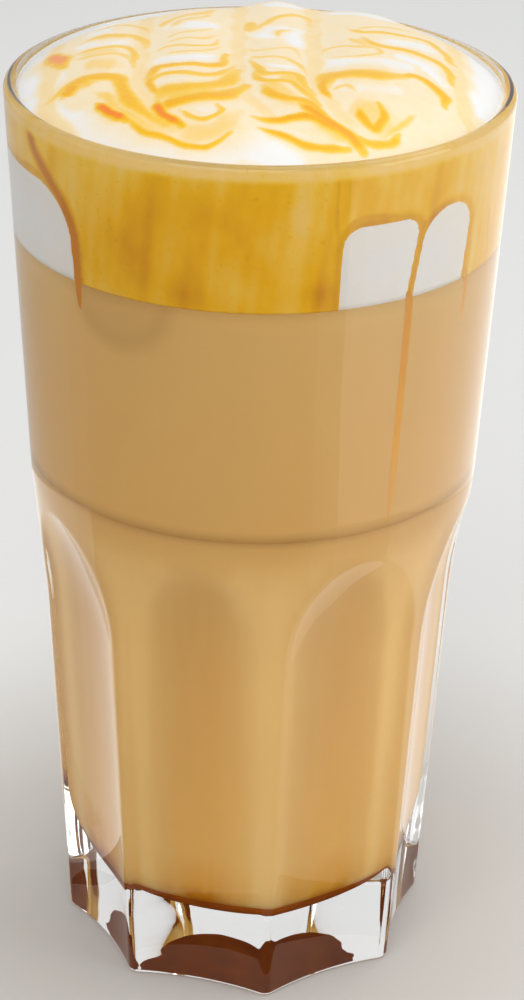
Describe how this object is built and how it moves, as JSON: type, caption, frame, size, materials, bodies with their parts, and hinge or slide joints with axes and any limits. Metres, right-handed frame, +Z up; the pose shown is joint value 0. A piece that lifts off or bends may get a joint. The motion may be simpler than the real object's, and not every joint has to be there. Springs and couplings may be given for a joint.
{
  "type": "caramel macchiato in its glass",
  "caption": "Caramel macchiato in a tall fluted stacking glass: settled syrup, milky coffee, domed milk foam and a caramel coat on the wall.",
  "frame": {"origin": "centre of the underside of the base, on the surface the glass stands on", "axes": "+Z up along the glass's axis, -Y towards the side with the openings in the caramel coat, +X to its right"},
  "size_m": [0.0814, 0.0814, 0.1604],
  "materials": {
    "clear_glass": "clear, smooth, moulded",
    "settled_syrup": "dark amber syrup, glossy",
    "milky_coffee": "opaque milky coffee, smooth",
    "milk_foam": "fine wet milk foam, soft sheen",
    "caramel_sauce": "caramel sauce, glossy"
  },
  "bodies": {
    "root": {"glass": "clear_glass", "caramel_syrup": "settled_syrup", "coffee": "milky_coffee", "milk_foam": "milk_foam", "caramel_coat": "caramel_sauce"}
  },
  "joints": []
}
